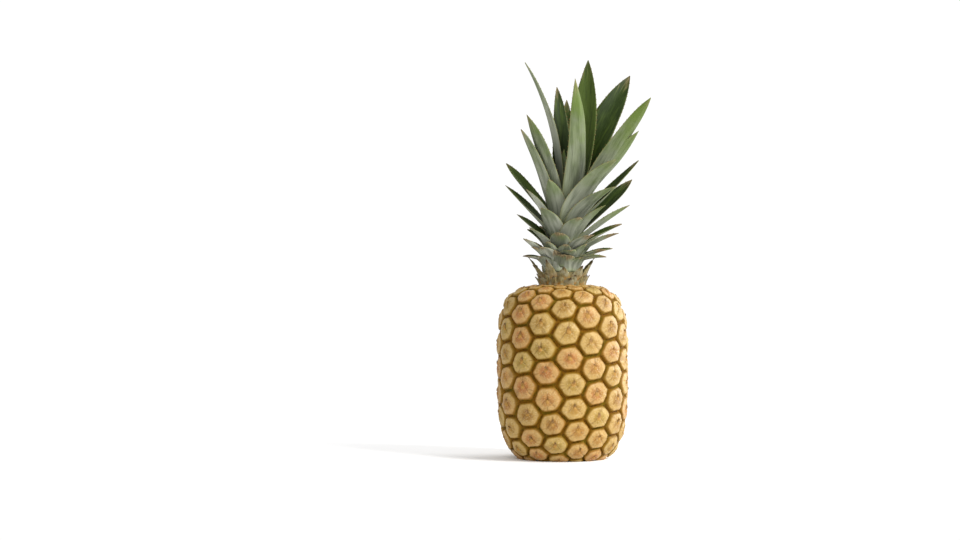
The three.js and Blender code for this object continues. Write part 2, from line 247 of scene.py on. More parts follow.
def eye_relief(across, up, reach, number):
    """Height of an eye's plate at each place, with the shares of rim, crease, pit and wrinkle.

    A fleshy bract covers the lower half and ends in a point. Above it, two sepals close over the
    scar of the flower, and creases run between them and along the margins of the bract.
    """
    spoke = np.arctan2(up, across)
    ripple = 0.012 * np.sin(5 * spoke + 3 * draw(number + 0.4))
    ripple = ripple + 0.008 * np.sin(11 * spoke + number)
    rim = reach + ripple * ease(reach, 0.4, 0.8) * (1 - ease(reach, 0.92, 1))
    height = eye_form.middle_rise - eye_form.middle_to_rim * reach ** 2.6
    height = height - (eyes.groove_depth - eye_form.rim_drop) * ease(rim, 0.84, 0.96)

    climb = up - tip_height(number)
    bract_half = eye_form.bract_half_width * np.clip(-climb / eye_form.bract_length, 0, 1) ** 0.8
    margin = bract_half - np.abs(across)
    bract = ease(margin, -0.3, 0.5) * (1 - ease(reach, 0.78, 0.88))
    keel = np.exp(-(across / eye_form.keel_width) ** 2) * ease(climb, -7, -1)
    height += bract * (eye_form.bract_rise + eye_form.keel_rise * keel)

    distance = np.hypot(across, climb)
    height -= eye_form.dip_depth * np.exp(-(distance / eye_form.dip_width) ** 2)
    sepal_side = ((np.abs(across) - eye_form.sepal_across) / 1.5) ** 2
    sepal_up = ((climb - eye_form.sepal_above) / 2.1) ** 2
    height += eye_form.sepal_rise * (np.exp(-sepal_side - sepal_up) * (1 - bract))

    parting = np.exp(-(across / eye_form.crease_width) ** 2)
    parting = parting * ease(climb, 0.2, 1.2) * (1 - ease(climb, 4.5, 7.5))
    fold = np.exp(-((margin + 0.5) / eye_form.crease_width) ** 2)
    fold = fold * ease(-climb, 0.5, 2) * (1 - ease(reach, 0.6, 0.8))
    crease = np.maximum(parting, fold)
    height -= eye_form.crease_depth * crease
    pit = np.exp(-(distance / eye_form.pit_width) ** 2)
    height -= eye_form.pit_depth * pit * (1 - bract)

    outer = ease(reach, 0.3, 0.65) * (1 - ease(rim, 0.84, 0.94))
    bent = spoke + 0.5 * np.sin(2 * spoke + 3 * draw(number + 0.6))
    wrinkle = np.sin(19 * bent + 6 * draw(number + 0.4))
    wrinkle = wrinkle + 0.8 * np.sin(31 * bent + 4 * reach + number)
    wrinkle *= outer * (0.6 + 0.4 * np.sin(3 * spoke + 5 * draw(number + 0.9)))
    height += eye_form.wrinkle_rise * wrinkle
    return height, rim, crease, pit, wrinkle


def make_rind():
    """The plates of all eyes, in a lower and an upper half that meet along the rims of plates."""
    number, turn, climb, corners = eye_centres()
    share = np.linspace(0, 1, eyes.edge_points, endpoint=False)[None, None, :, None]
    onward = np.roll(corners, -1, axis=1)
    edge = corners[:, :, None] * (1 - share) + onward[:, :, None] * share
    edge = edge.reshape(len(number), -1, 2)
    length = np.linalg.norm(edge, axis=-1, keepdims=True)
    shifts = range(-eyes.rounding, eyes.rounding + 1)
    rounded = sum(np.roll(length, shift, axis=1) for shift in shifts) / len(shifts)
    rounded = np.minimum(rounded, length)

    reach = np.array(eyes.reaches)[None, :, None, None]
    spread = reach * edge[:, None] * (rounded / length)[:, None] ** (1 - reach ** 5)
    spot = np.concatenate([np.zeros((len(number), 1, 2)), spread.reshape(len(number), -1, 2)], 1)
    reaches = np.broadcast_to(reach[..., 0], spread.shape[:-1]).reshape(len(number), -1)
    reaches = np.concatenate([np.zeros((len(number), 1)), reaches], 1)

    across = spot[..., 0] * fruit.radius
    up = spot[..., 1] * fruit.radius
    place_turn = turn[:, None] + spot[..., 0]
    place_climb = climb[:, None] + spot[..., 1]
    smooth = on_skin(place_turn, place_climb, 0 * across)
    relief, rim, crease, pit, wrinkle = eye_relief(across, up, reaches, number[:, None])
    lumps = eye_form.lump_rise * grain(smooth, eye_form.lump_size, 2)
    relief += lumps * (1 - 0.5 * ease(reaches, 0.9, 1))
    grit = eye_form.grit_rise * grain(smooth, eye_form.grit_size, 3)
    relief += grit * (1 - ease(reaches, 0.93, 1))
    points = on_skin(place_turn, place_climb, relief)

    sides = edge.shape[1]
    onwards = (np.arange(sides) + 1) % sides
    first = 1 + np.arange(sides)
    faces = [(0, a, b) for a, b in zip(first, first[onwards])]
    for ring in range(len(eyes.reaches) - 1):
        low = first + ring * sides
        high = low + sides
        faces.extend(zip(low, high, high[onwards], low[onwards]))

    pieces = []
    middle = first_eye_climb()
    for name, chosen in (("rind_lower", climb < middle), ("rind_upper", climb >= middle)):
        heap = Heap()
        for index in np.flatnonzero(chosen):
            heap.add(
                points[index],
                faces,
                rim=rim[index],
                crease=crease[index],
                pit=pit[index],
                wrinkle=wrinkle[index],
                tone=draw(number[index] + 0.55),
                blush=draw(number[index] + 0.85),
            )
        pieces.append(heap.piece(name))
    close_rind(*pieces)
    return pieces


def close_rind(lower, upper):
    """Joins the plates of each half at the floor of their grooves, and closes it on the axis.

    The edge along which the halves meet stays open.
    """
    weld_distance = 0.002 * MM
    least_from_widest = 30 * MM
    base_level = (fruit.hollow_rise - fruit.press_depth) * MM
    top_level = (fruit.height - fruit.top_dip) * MM
    for half, level, beyond in ((lower, base_level, -1), (upper, top_level, 1)):
        form = bmesh.new()
        form.from_mesh(half.data)
        bmesh.ops.remove_doubles(form, verts=form.verts, dist=weld_distance)
        pole = form.verts.new((0, 0, level))
        pole[form.verts.layers.float["rim"]] = 1
        for edge in [edge for edge in form.edges if edge.is_boundary]:
            from_widest = (edge.verts[0].co.z - fruit.widest_height * MM) * beyond
            if from_widest > least_from_widest:
                form.faces.new((*edge.verts, pole))
        bmesh.ops.recalc_face_normals(form, faces=form.faces)
        form.to_mesh(half.data)
        form.free()
        half.data.shade_smooth()


class Value:
    """A shader socket that takes part in sums. Each operator adds the Math node it stands for."""

    def __init__(self, finish, socket):
        self.finish = finish
        self.socket = socket

    def maths(self, operation, *values):
        return self.finish.node("Math", {"operation": operation}, dict(enumerate(values)))

    def __add__(self, other):
        return self.maths("ADD", self, other)

    def __radd__(self, other):
        return self.maths("ADD", other, self)

    def __sub__(self, other):
        return self.maths("SUBTRACT", self, other)

    def __rsub__(self, other):
        return self.maths("SUBTRACT", other, self)

    def __mul__(self, other):
        return self.maths("MULTIPLY", self, other)

    def __rmul__(self, other):
        return self.maths("MULTIPLY", other, self)


class Finish:
    """A material in the making, around one Principled shader with its constant values set."""

    def __init__(self, name, constants):
        self.material = bpy.data.materials.new(name)
        self.material.use_nodes = True
        self.tree = self.material.node_tree
        self.shader = self.tree.nodes["Principled BSDF"]
        for socket, value in constants.items():
            self.shader.inputs[socket].default_value = value

    def node(self, kind, settings, sockets, output=0):
        """Adds a node, sets its settings, then fills its sockets with values or links."""
        made = self.tree.nodes.new("ShaderNode" + kind)
        for setting, value in settings.items():
            setattr(made, setting, value)
        for socket, value in sockets.items():
            if isinstance(value, Value):
                self.tree.links.new(value.socket, made.inputs[socket])
            else:
                made.inputs[socket].default_value = value
        return Value(self, made.outputs[output])

    def carried(self, name):
        """The value that the mesh carries under a name."""
        return self.node("Attribute", {"attribute_name": name}, {}, output=2)

    def speckle(self, size, detail=3, stretch=(1, 1, 1)):
        """Noise around 0.5 with lumps of a size in millimetres, stretched along the axes."""
        place = self.node("TexCoord", {}, {}, output=3)
        scaled = self.node("VectorMath", {"operation": "MULTIPLY"}, {0: place, 1: stretch})
        values = {"Vector": scaled, "Scale": 1000 / size, "Detail": detail, "Roughness": 0.6}
        return self.node("TexNoise", {}, values)

    def between(self, value, low, high):
        """Rises smoothly from 0 where the value is low to 1 where it is high."""
        sockets = {"Value": value, "From Min": low, "From Max": high}
        return self.node("MapRange", {"interpolation_type": "SMOOTHSTEP"}, sockets)

    def mix(self, share, one, two):
        """A colour that goes from one to two as the share rises."""
        return self.node("Mix", {"data_type": "RGBA"}, {0: share, 6: one, 7: two}, output=2)

    def feed(self, links):
        """Links values to the shader's sockets."""
        for socket, value in links.items():
            self.tree.links.new(value.socket, self.shader.inputs[socket])

    def bump(self, height, depth):
        """Shades the surface as if raised by the height, which is 1 for a depth in millimetres."""
        sockets = {"Height": height, "Strength": 1, "Distance": depth * MM}
        self.feed({"Normal": self.node("Bump", {}, sockets)})


def pigment(red, green, blue):
    """A shader colour from the usual 0 to 255 display values."""
    linear = [
        value / 255 / 12.92 if value <= 10 else ((value / 255 + 0.055) / 1.055) ** 2.4
        for value in (red, green, blue)
    ]
    return (*linear, 1)


def rind_finish():
    """Golden plates with a painted highlight in a ring, fine painted glints, creases and pits
    darkened partly by painted shade, and furrows darkened by painted shade, around grooves of ochre
    and green.
    """
    finish = Finish("rind", {"Specular IOR Level": 0.12, "Coat Roughness": 0.4})
    rim = finish.carried("rim")
    crease = finish.carried("crease")
    pit = finish.carried("pit")
    wrinkle = finish.carried("wrinkle")
    tone = finish.carried("tone")
    blush = finish.carried("blush")
    fine = finish.speckle(1)
    spots = finish.speckle(2.6)
    patches = finish.speckle(12)
    wide = finish.speckle(45, detail=1)

    varied = finish.between(tone + (patches - 0.5) * 3, -0.9, 1)
    gold = finish.mix(varied, pigment(137, 98, 33), pigment(159, 125, 60))
    rosy = finish.between(blush * 0.3 + wide, 0.45, 0.75)
    gold = finish.mix(rosy * 0.65, gold, pigment(166, 102, 52))
    khaki = finish.between(tone * 0.3 - blush * 0.2 + wide, 0.5, 0.85)
    gold = finish.mix(khaki * 0.5, gold, pigment(140, 120, 40))
    inside = 1 - finish.between(rim, 0.74, 0.86)
    # A paler ring between the middle and the rim of each plate is a painted highlight.
    ring_highlight = finish.between(rim + (spots - 0.5) * 0.5, 0.3, 0.6) * inside
    gold = finish.mix(ring_highlight * 0.5, gold, pigment(190, 160, 98))
    # Fine whitish specks on the plates are painted glints.
    gold = finish.mix(finish.between(fine, 0.5, 0.72) * 0.5, gold, pigment(206, 186, 142))
    gold = finish.mix(finish.between(spots, 0.56, 0.7) * 0.4, gold, pigment(116, 78, 30))
    # The troughs between the wrinkles near the rim are darkened: painted shade.
    furrow_shade = finish.between((fine - 0.5) - wrinkle, 0.1, 1.4)
    gold = finish.mix(furrow_shade * 0.5, gold, pigment(116, 80, 26))
    # The creases and the pit in the middle darken to brown: partly their own brown, partly painted
    # shade.
    lined = finish.mix(finish.between(crease, 0.15, 0.9) * 0.38, gold, pigment(108, 72, 28))
    centre = finish.mix(finish.between(pit, 0.05, 0.75) * 0.42, lined, pigment(96, 62, 28))
    edge = finish.between(rim + (fine - 0.5) * 0.16, 0.74, 0.89)
    rimmed = finish.mix(edge * 0.85, centre, pigment(124, 90, 12))
    green = finish.between(patches + blush * 0.08, 0.48, 0.62)
    groove = finish.mix(green * 0.6, pigment(118, 78, 3), pigment(96, 88, 6))
    scurf = finish.between(spots + (fine - 0.5) * 0.7, 0.46, 0.62)
    groove = finish.mix(scurf * 0.6, groove, pigment(74, 46, 12))
    floor = finish.between(rim + (fine - 0.5) * 0.08, 0.87, 0.95)
    finish.feed({
        "Base Color": finish.mix(floor, rimmed, groove),
        "Roughness": 0.5 + 0.25 * floor + 0.3 * (fine - 0.5),
        "Coat Weight": 0.3 * (1 - edge),
    })
    pores = finish.speckle(0.6, detail=2)
    finish.bump(spots * 0.4 + fine * 0.35 + pores * 0.25, 0.8)
    return finish.material


skin = rind_finish()
for half in make_rind():
    half.data.materials.append(skin)
    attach(half, "root")
    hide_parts("fruit")


# The fleshy bract of every eye ends in a dry, papery point, which lifts off the middle of the
# plate and bends towards the crown. It withers from its tip, so it is palest where it is rooted.
eye_tip = SimpleNamespace(
    root=-4.2,
    length=7.6,
    half_width=2.2,
    end_half_width=0.12,
    thickness=0.3,
    camber=0.3,
    root_sunk=0.35,
    root_rise=0.5,
    lift=0.6,
    curl=0.3,
    stray=SimpleNamespace(size=0.22, sideways=2, lift=0.6),
)


def slab(front, back):
    """Points and faces of the closed solid between two grids of points laid out alike."""
    rows, columns = front.shape[:2]
    near = np.arange(rows * columns).reshape(rows, columns)
    far = near + rows * columns
    corners = ((slice(None, -1), slice(None, -1)), (slice(None, -1), slice(1, None)),
               (slice(1, None), slice(1, None)), (slice(1, None), slice(None, -1)))
    faces = list(zip(*(near[corner].ravel() for corner in corners)))
    faces += list(zip(*(far[corner].ravel() for corner in reversed(corners))))
    loop = [*near[0], *near[1:, -1], *near[-1, -2::-1], *near[-2:0:-1, 0]]
    behind = rows * columns
    faces += [
        (one, one + behind, two + behind, two) for one, two in zip(loop, loop[1:] + loop[:1])
    ]
    return np.concatenate([front.reshape(-1, 3), back.reshape(-1, 3)]), faces


def make_eye_tips():
    number, turn, climb, corners = eye_centres()
    plate_radius = np.linalg.norm(corners, axis=-1).mean() * fruit.radius
    along = np.linspace(0, 1, 9)[:, None]
    side = np.linspace(-1, 1, 5)[None, :]
    heap = Heap()
    for index, eye in enumerate(number):
        size = 1 + eye_tip.stray.size * draw(eye + 0.31)
        half = eye_tip.half_width * size * (1 - along ** 1.7) ** 0.8 + eye_tip.end_half_width
        across = side * half + eye_tip.stray.sideways * draw(eye + 0.47) * along ** 2
        up = tip_height(eye) + eye_tip.root + eye_tip.length * size * along + 0 * side
        ground = eye_relief(across, up, np.hypot(across, up) / plate_radius, eye)[0]
        lift = eye_tip.lift * (1 + eye_tip.stray.lift * draw(eye + 0.63))
        rooted = eye_tip.root_rise * ease(along, 0, 0.35) - eye_tip.root_sunk
        raised = ground + rooted + lift * along - eye_tip.camber * side ** 2
        raised = raised + eye_tip.curl * draw(eye + 0.77) * np.sin(along * 5) * side
        place_turn = turn[index] + across / fruit.radius
        place_climb = climb[index] + up / fruit.radius
        front = on_skin(place_turn, place_climb, raised)
        back = on_skin(place_turn, place_climb, raised - eye_tip.thickness * (1.4 - along))
        points, faces = slab(front, back)
        withered = np.tile((along + 0 * side).ravel(), 2)
        heap.add(points, faces, withered=withered, tone=draw(eye + 0.15))
    return heap.piece("eye_tips")


def eye_tip_finish():
    finish = Finish("dry_eye_tip", {"Specular IOR Level": 0.25})
    withered = finish.carried("withered")
    tone = finish.carried("tone")
    fine = finish.speckle(0.9)
    root = finish.mix(finish.between(fine, 0.3, 0.8), pigment(148, 106, 42), pigment(180, 140, 74))
    mottled = finish.between(fine + tone * 0.1, 0.4, 0.65)
    dry = finish.mix(mottled, pigment(98, 68, 36), pigment(150, 116, 72))
    colour = finish.mix(finish.between(withered + tone * 0.15, 0.4, 0.85), root, dry)
    finish.feed({"Base Color": colour, "Roughness": 0.6 + 0.3 * withered})
    finish.bump(fine, 0.2)
    return finish.material


eye_tips = make_eye_tips()
eye_tips.data.materials.append(eye_tip_finish())
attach(eye_tips, "root")


# The stalk was cut off level with the base: a round plug of tough fibres in a thin skin, with
# the cut face that the fruit stands on dried rough and brown.
stalk = SimpleNamespace(
    radius=11,
    sides=72,
    cut_rings=(0.08, 0.2, 0.32, 0.44, 0.56, 0.68, 0.8, 0.9, 0.97, 1),
    wall_rings=(1.2, 3, 6, 10, 15, 20, 24),
    fray=0.25,
    rib_depth=0.25,
)


def stacked_rings(radius, level, turn):
    """Points and faces of a closed solid of rings about the axis, from the lowest upwards."""
    points = np.stack([radius * np.cos(turn), radius * np.sin(turn), level + 0 * turn], -1)
    index = np.arange(points[..., 0].size).reshape(points.shape[:2])
    onward = np.roll(index, -1, axis=1)
    corners = (index[:-1], onward[:-1], onward[1:], index[1:])
    faces = list(zip(*(corner.ravel() for corner in corners)))
    faces.append(tuple(index[0][::-1]))
    faces.append(tuple(index[-1]))
    return points.reshape(-1, 3), faces


def make_stalk_end():
    turn = np.linspace(0, 2 * math.pi, stalk.sides, endpoint=False)[None, :]
    cut_radii = stalk.radius * np.array(stalk.cut_rings)
    wall_radii = np.full(len(stalk.wall_rings), stalk.radius)
    radius = np.concatenate([cut_radii, wall_radii])[:, None]
    level = np.concatenate([np.zeros(len(cut_radii)), stalk.wall_rings])[:, None]
    frayed = stalk.fray + stalk.fray * np.sin(turn * 29 + radius * 1.1) * np.sin(radius * 2.3)
    frayed = np.where(level == 0, frayed, 0) * ease(radius, 0, 4)
    level = level + frayed * (1 - ease(radius, 9.8, 10.6))
    radius = radius - stalk.rib_depth * (1 + np.sin(turn * 17)) * ease(level, 1, 3)
    points, faces = stacked_rings(radius, level, turn)
    heap = Heap()
    heap.add(points, faces, core=1 - ease(np.hypot(points[:, 0], points[:, 1]), 9.4, 10.2))
    return heap.piece("cut_stalk")


def cut_stalk_finish():
    finish = Finish("cut_stalk", {"Specular IOR Level": 0.2})
    core = finish.carried("core")
    fibres = finish.speckle(0.7, stretch=(1, 1, 0.1))
    patches = finish.speckle(5)
    grained = finish.between(fibres, 0.35, 0.7)
    flesh = finish.mix(grained, pigment(132, 100, 58), pigment(190, 162, 112))
    stained = finish.mix(finish.between(patches, 0.5, 0.7) * 0.6, flesh, pigment(96, 68, 38))
    colour = finish.mix(core, pigment(82, 62, 34), stained)
    finish.feed({"Base Color": colour, "Roughness": 0.75 + 0.2 * (fibres - 0.5)})
    finish.bump(fibres, 0.4)
    return finish.material


cut_stalk = make_stalk_end()
cut_stalk.data.materials.append(cut_stalk_finish())
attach(cut_stalk, "root")
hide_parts("stalk_end")


# Between fruit and crown a short ribbed neck carries three rings of small bracts. They are the
# first leaves to wither, so they are brown and papery, with ragged edges.
neck = SimpleNamespace(bottom=157.8, top=172, radius=22, top_radius=21, ribs=24, rib_depth=0.5)
bract_rings = (
    SimpleNamespace(root=159.5, lean=32, length=10, uneven=0.12),
    SimpleNamespace(root=161, lean=28, length=10, uneven=0.12),
    SimpleNamespace(root=164, lean=30, length=20, uneven=0.3),
)
bract = SimpleNamespace(
    per_ring=10,
    width=14,
    end_half_width=0.3,
    rib=1.3,
    rim=0.35,
    root_depth=2,
    channel=0.34,
    ragged=0.35,
    stray=SimpleNamespace(azimuth=3, lean=5, twist=0.06),
)


def bezier(start, middle, end, along):
    """Points and unit tangents of the curve that leaves start for middle and arrives at end."""
    share = along[:, None]
    points = (1 - share) ** 2 * start + 2 * share * (1 - share) * middle + share ** 2 * end
    tangents = (1 - share) * (middle - start) + share * (end - middle)
    return points, tangents / np.linalg.norm(tangents, axis=1, keepdims=True)


def turned(vectors, axes, angles):
    """Each vector turned about its own axis, which is at right angles to it."""
    angles = np.asarray(angles)[:, None]
    return vectors * np.cos(angles) + np.cross(axes, vectors) * np.sin(angles)


def blade_grids(points, tangents, side, half, camber, thickness, twist):
    """The inner and the outer face of a blade, as grids of points along and across it.

    half goes by place along the blade; camber and thickness go by place along and across.
    """
    along = np.linspace(0, 1, len(points))
    inward = np.cross(tangents, side)
    inward /= np.linalg.norm(inward, axis=1, keepdims=True)
    across = np.cross(tangents, inward)
    inward = turned(inward, tangents, twist * along)
    across = turned(across, tangents, twist * along)
    place = np.linspace(-1, 1, camber.shape[1])
    inner = points[:, None] + across[:, None] * (half[:, None] * place)[..., None]
    inner = inner + inward[:, None] * camber[..., None]
    return inner, inner - inward[:, None] * thickness[..., None]


def make_neck_bracts():
    heap = Heap()
    turn = np.linspace(0, 2 * math.pi, 96, endpoint=False)[None, :]
    share = np.linspace(0, 1, 9)[:, None]
    radius = neck.radius + (neck.top_radius - neck.radius) * share
    radius = radius - neck.rib_depth * (1 + np.sin(turn * neck.ribs))
    level = neck.bottom + (neck.top - neck.bottom) * share
    heap.add(*stacked_rings(radius, level, turn), withered=0.5, tone=0, across=0, way=0)

    along = np.linspace(0, 1, 13)
    place = np.linspace(-1, 1, 9)
    for ring, row in enumerate(bract_rings):
        for position in range(bract.per_ring):
            number = ring * bract.per_ring + position
            azimuth = 360 / bract.per_ring * (position + ring / len(bract_rings))
            azimuth = math.radians(azimuth + bract.stray.azimuth * draw(number))
            outward = np.array([math.cos(azimuth), math.sin(azimuth), 0])
            side = np.array([-outward[1], outward[0], 0])
            upward = np.array([0, 0, 1])
            tilt = math.radians(row.lean + bract.stray.lean * draw(number + 0.2))
            reach = row.length * (1 + row.uneven * draw(number + 0.4))
            start = outward * (neck.radius - bract.root_depth) + upward * row.root
            half_way = outward * math.sin(tilt * 0.7) + upward * math.cos(tilt * 0.7)
            end = start + reach * (outward * math.sin(tilt) + upward * math.cos(tilt))
            points, tangents = bezier(start, start + 0.5 * reach * half_way, end, along)
            half = np.maximum(bract.end_half_width, bract.width * (1 - along ** 1.6) / 2)
            notches = np.sin(along * 31 + 9 * draw(number + 0.1))[:, None]
            ragged = bract.ragged * notches * place ** 3
            camber = bract.channel * half[:, None] * np.abs(place) ** 1.6 + ragged
            rib = bract.rib + (bract.rim - bract.rib) * along[:, None]
            thickness = bract.rim + (rib - bract.rim) * (1 - np.abs(place))
            twist = bract.stray.twist * draw(number + 0.6)
            inner, outer = blade_grids(points, tangents, side, half, camber, thickness, twist)
            shape, faces = slab(inner, outer)
            heap.add(
                shape,
                faces,
                withered=np.tile(np.repeat(along, len(place)), 2),
                tone=draw(number + 0.35),
                across=np.tile((half[:, None] * place).ravel(), 2),
                way=np.tile(np.repeat(along * reach, len(place)), 2),
            )
    return heap.piece("neck_bracts")


def streaks(finish, size, stretch=0.05):
    """Noise drawn out along a blade, from its carried place across and way along.

    The tone, which is a blade's own, sets its streaks apart from those of the others.
    """
    place = {
        0: finish.carried("across"),
        1: finish.carried("way") * stretch,
        2: finish.carried("tone") * 40,
    }
    vector = finish.node("CombineXYZ", {}, place)
    return finish.node("TexNoise", {}, {"Vector": vector, "Scale": 1 / size, "Detail": 3})


def neck_bract_finish():
    finish = Finish("dry_bract", {"Specular IOR Level": 0.2})
    withered = finish.carried("withered")
    tone = finish.carried("tone")
    lines = streaks(finish, 0.6)
    patches = finish.speckle(5)
    brown = finish.mix(finish.between(lines, 0.35, 0.7), pigment(88, 76, 46), pigment(146, 134, 90))
    greyed = finish.between(patches + tone * 0.15, 0.45, 0.65)
    grey = finish.mix(greyed * 0.7, brown, pigment(146, 142, 118))
    root = finish.mix(finish.between(withered, 0, 0.45), pigment(150, 108, 44), grey)
    colour = finish.mix(finish.between(withered + tone * 0.1, 0.75, 1), root, pigment(70, 52, 32))
    finish.feed({"Base Color": colour, "Roughness": 0.8 + 0.2 * (lines - 0.5)})
    finish.bump(lines, 0.3)
    return finish.material


neck_bracts = make_neck_bracts()
neck_bracts.data.materials.append(neck_bract_finish())
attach(neck_bracts, "root")
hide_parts("crown_base_bracts")


# The crown is a short stem packed with stiff, channelled leaves that clasp it with a broad foot.
# Their outer faces wear a grey waxy bloom, the inner ones are bare and dark green.
stem = SimpleNamespace(
    bottom=172.3,
    bottom_radius=17.5,
    top=246,
    top_radius=5,
    core=0.75,
    sides=32,
    rings=20,
)

leaf = SimpleNamespace(
    rim=0.4,
    rib=1.7,
    tip_rib=0.5,
    tip_width=0.5,
    sheath=17,
    sheath_end=0.28,
    channel=0.34,
    fullness=3,
    root_place=0.8,
    root_stray=0.09,
    stray_tip=2.5,
    columns=13,
    row_length=4.5,
    least_rows=12,
    shortest_spined=25,
)

# Leaves that stand out, one a row: azimuth (0 to the right, -90 to the front), height of the
# root, then reach from the axis, height of the tip, width, how many degrees the leaf starts
# more upright than the line from root to tip, and how many degrees it twists up to its tip.
standing_out = (
    (-40, 220, 16, 350, 28, -17, -6),
    (58, 232, 47, 372, 33, -15, 24),
    (-158, 232, 37, 365, 16, 19, 0),
    (110, 234, 20, 345, 20, 14, 0),
    (44, 228, 88, 359, 35, 5, 50),
    (-26, 216, 90, 330, 27, 2, -34),
    (100, 230, 16, 320, 19, 2, 0),
    (84, 222, 58, 336, 21, 8, 20),
    (118, 214, 52, 300, 19, 8, 0),
    (72, 210, 78, 290, 19, 12, 0),
    (-42, 211, 64, 274, 33, 20, 0),
    (-38, 210, 60, 250, 27, 17, 0),
    (-138, 222, 42, 316, 20, 9, 12),
    (-150, 214, 43, 303, 19, 9, 10),
    (-22, 224, 74, 301, 24, -3, -30),
    (10, 212, 72, 276, 19, -3, 25),
    (26, 203, 73, 259, 22, -2, 35),
    (156, 216, 58, 274, 19, 0, -25),
    (170, 207, 54, 253, 18, 0, -20),
    (-6, 198, 62, 234, 15, 2, -25),
    (166, 197, 44, 226, 16, 3, -20),
    (18, 192, 58, 217, 15, 7, 20),
    (-14, 189, 53, 208, 13, 8, -20),
    (-165, 181, 38, 203, 15, 6, 15),
    (8, 184, 47, 194, 13, 8, 15),
    (-24, 182, 44, 186, 13, 10, -15),
    (176, 182, 37, 187, 14, 8, -15),
    (-112, 212, 28, 257, 22, 12, 0),
    (-62, 199, 34, 222, 22, 16, 0),
    (-122, 203, 35, 231, 21, 14, 0),
    (-98, 191, 33, 208, 20, 16, 0),
    (-46, 189, 40, 206, 18, 16, 0),
    (-74, 182, 33, 192, 17, 18, 0),
    (-128, 182, 35, 195, 17, 18, 0),
)

# The other leaves follow one spiral up the stem, and fill the sides between those above.
spiral = SimpleNamespace(
    count=84,
    turn=137.508,
    phase=260,
    first_root=177.5,
    last_root=224,
    crowding=1.25,
    clear_turn=26,
    clear_height=(4, 14),
    reach=(33, 42, 52, 60, 64),
    tip=(188, 203, 228, 258, 292),
    width=(14, 15, 17, 19, 20),
    lift=(20, 18, 14, 11, 9),
    left_shortening=0.28,
    stray=SimpleNamespace(azimuth=8, reach=0.12, tip=8, width=0.1, twist=14),
)

# Rings of short leaves: broad ones hide the foot of the stem, and young ones stand in its heart.
leaf_rings = (
    SimpleNamespace(count=10, root=172.5, reach=25.5, tip=189, width=18, lift=26),
    SimpleNamespace(count=5, root=238, reach=7, tip=286, width=9, lift=6),
    SimpleNamespace(count=9, root=179, reach=30, tip=197, width=16, lift=18),
)
ring_stray = SimpleNamespace(azimuth=7, reach=2, tip=4)

spine = SimpleNamespace(
    spacing=5.2,
    length=1.1,
    width=1.3,
    half_thickness=0.22,
    sunk=0.35,
    hook=0.9,
    first=0.3,
    last=0.95,
)


def pick(values, share):
    """The value at a share of the way along a row of values."""
    return np.interp(share * (len(values) - 1), np.arange(len(values)), values)


def spiral_leaves():
    """Rows like those above, for the leaves of the spiral that have room beside them."""
    leaves = []
    for index in range(spiral.count):
        share = index / (spiral.count - 1)
        azimuth = (spiral.phase + index * spiral.turn) % 360
        root = spiral.first_root + (spiral.last_root - spiral.first_root) * share ** spiral.crowding
        crowded = any(
            abs((azimuth - other[0] + 540) % 360 - 180) < spiral.clear_turn
            and abs(root - other[1]) < pick(spiral.clear_height, share)
            for other in standing_out
        )
        if not crowded:
            leftward = max(0, -math.cos(math.radians(azimuth)))
            reach = pick(spiral.reach, share) * (1 - spiral.left_shortening * leftward)
            leaves.append((
                azimuth + spiral.stray.azimuth * draw(index + 0.1),
                root,
                reach * (1 + spiral.stray.reach * draw(index + 0.2)),
                pick(spiral.tip, share) + spiral.stray.tip * share * draw(index + 0.3),
                pick(spiral.width, share) * (1 + spiral.stray.width * draw(index + 0.4)),
                pick(spiral.lift, share),
                spiral.stray.twist * draw(index + 0.6),
            ))
    return leaves


def ring_leaves():
    """Rows like those above, for the rings of short leaves."""
    return [
        (
            360 / ring.count * place + ring_stray.azimuth * draw(20 * index + place + 0.15),
            ring.root,
            ring.reach + ring_stray.reach * draw(20 * index + place),
            ring.tip + ring_stray.tip * draw(20 * index + place + 0.5),
            ring.width,
            ring.lift,
            0,
        )
        for index, ring in enumerate(leaf_rings)
        for place in range(ring.count)
    ]


def stem_radius(height):
    share = ease(height, stem.bottom, stem.top)
    return stem.bottom_radius + (stem.top_radius - stem.bottom_radius) * share


def add_spines(heap, rim, centre, tangents, length, values):
    """Small hooks along one edge of a leaf, which point outwards and towards its tip."""
    way = np.linspace(0, 1, len(rim))
    for share in np.arange(spine.first, spine.last, spine.spacing / length):
        foot = np.array([np.interp(share, way, rim[:, axis]) for axis in range(3)])
        middle = np.array([np.interp(share, way, centre[:, axis]) for axis in range(3)])
        ahead = np.array([np.interp(share, way, tangents[:, axis]) for axis in range(3)])
        out = foot - middle
        out /= max(np.linalg.norm(out), 0.1)
        flat = np.cross(ahead, out)
        size = 1.15 - 0.5 * share
        inside = foot - out * spine.sunk
        points = [
            inside - ahead * spine.width * 0.5 * size,
            inside + ahead * spine.width * 0.5 * size,
            inside + flat * spine.half_thickness,
            inside - flat * spine.half_thickness,
            foot + (out + ahead * spine.hook) * spine.length * size,
        ]
        faces = [(0, 2, 4), (2, 1, 4), (1, 3, 4), (3, 0, 4), (0, 3, 1, 2)]
        heap.add(points, faces, **values, along=share, spine=1, inner=0.5, across=0, way=0, edge=1)


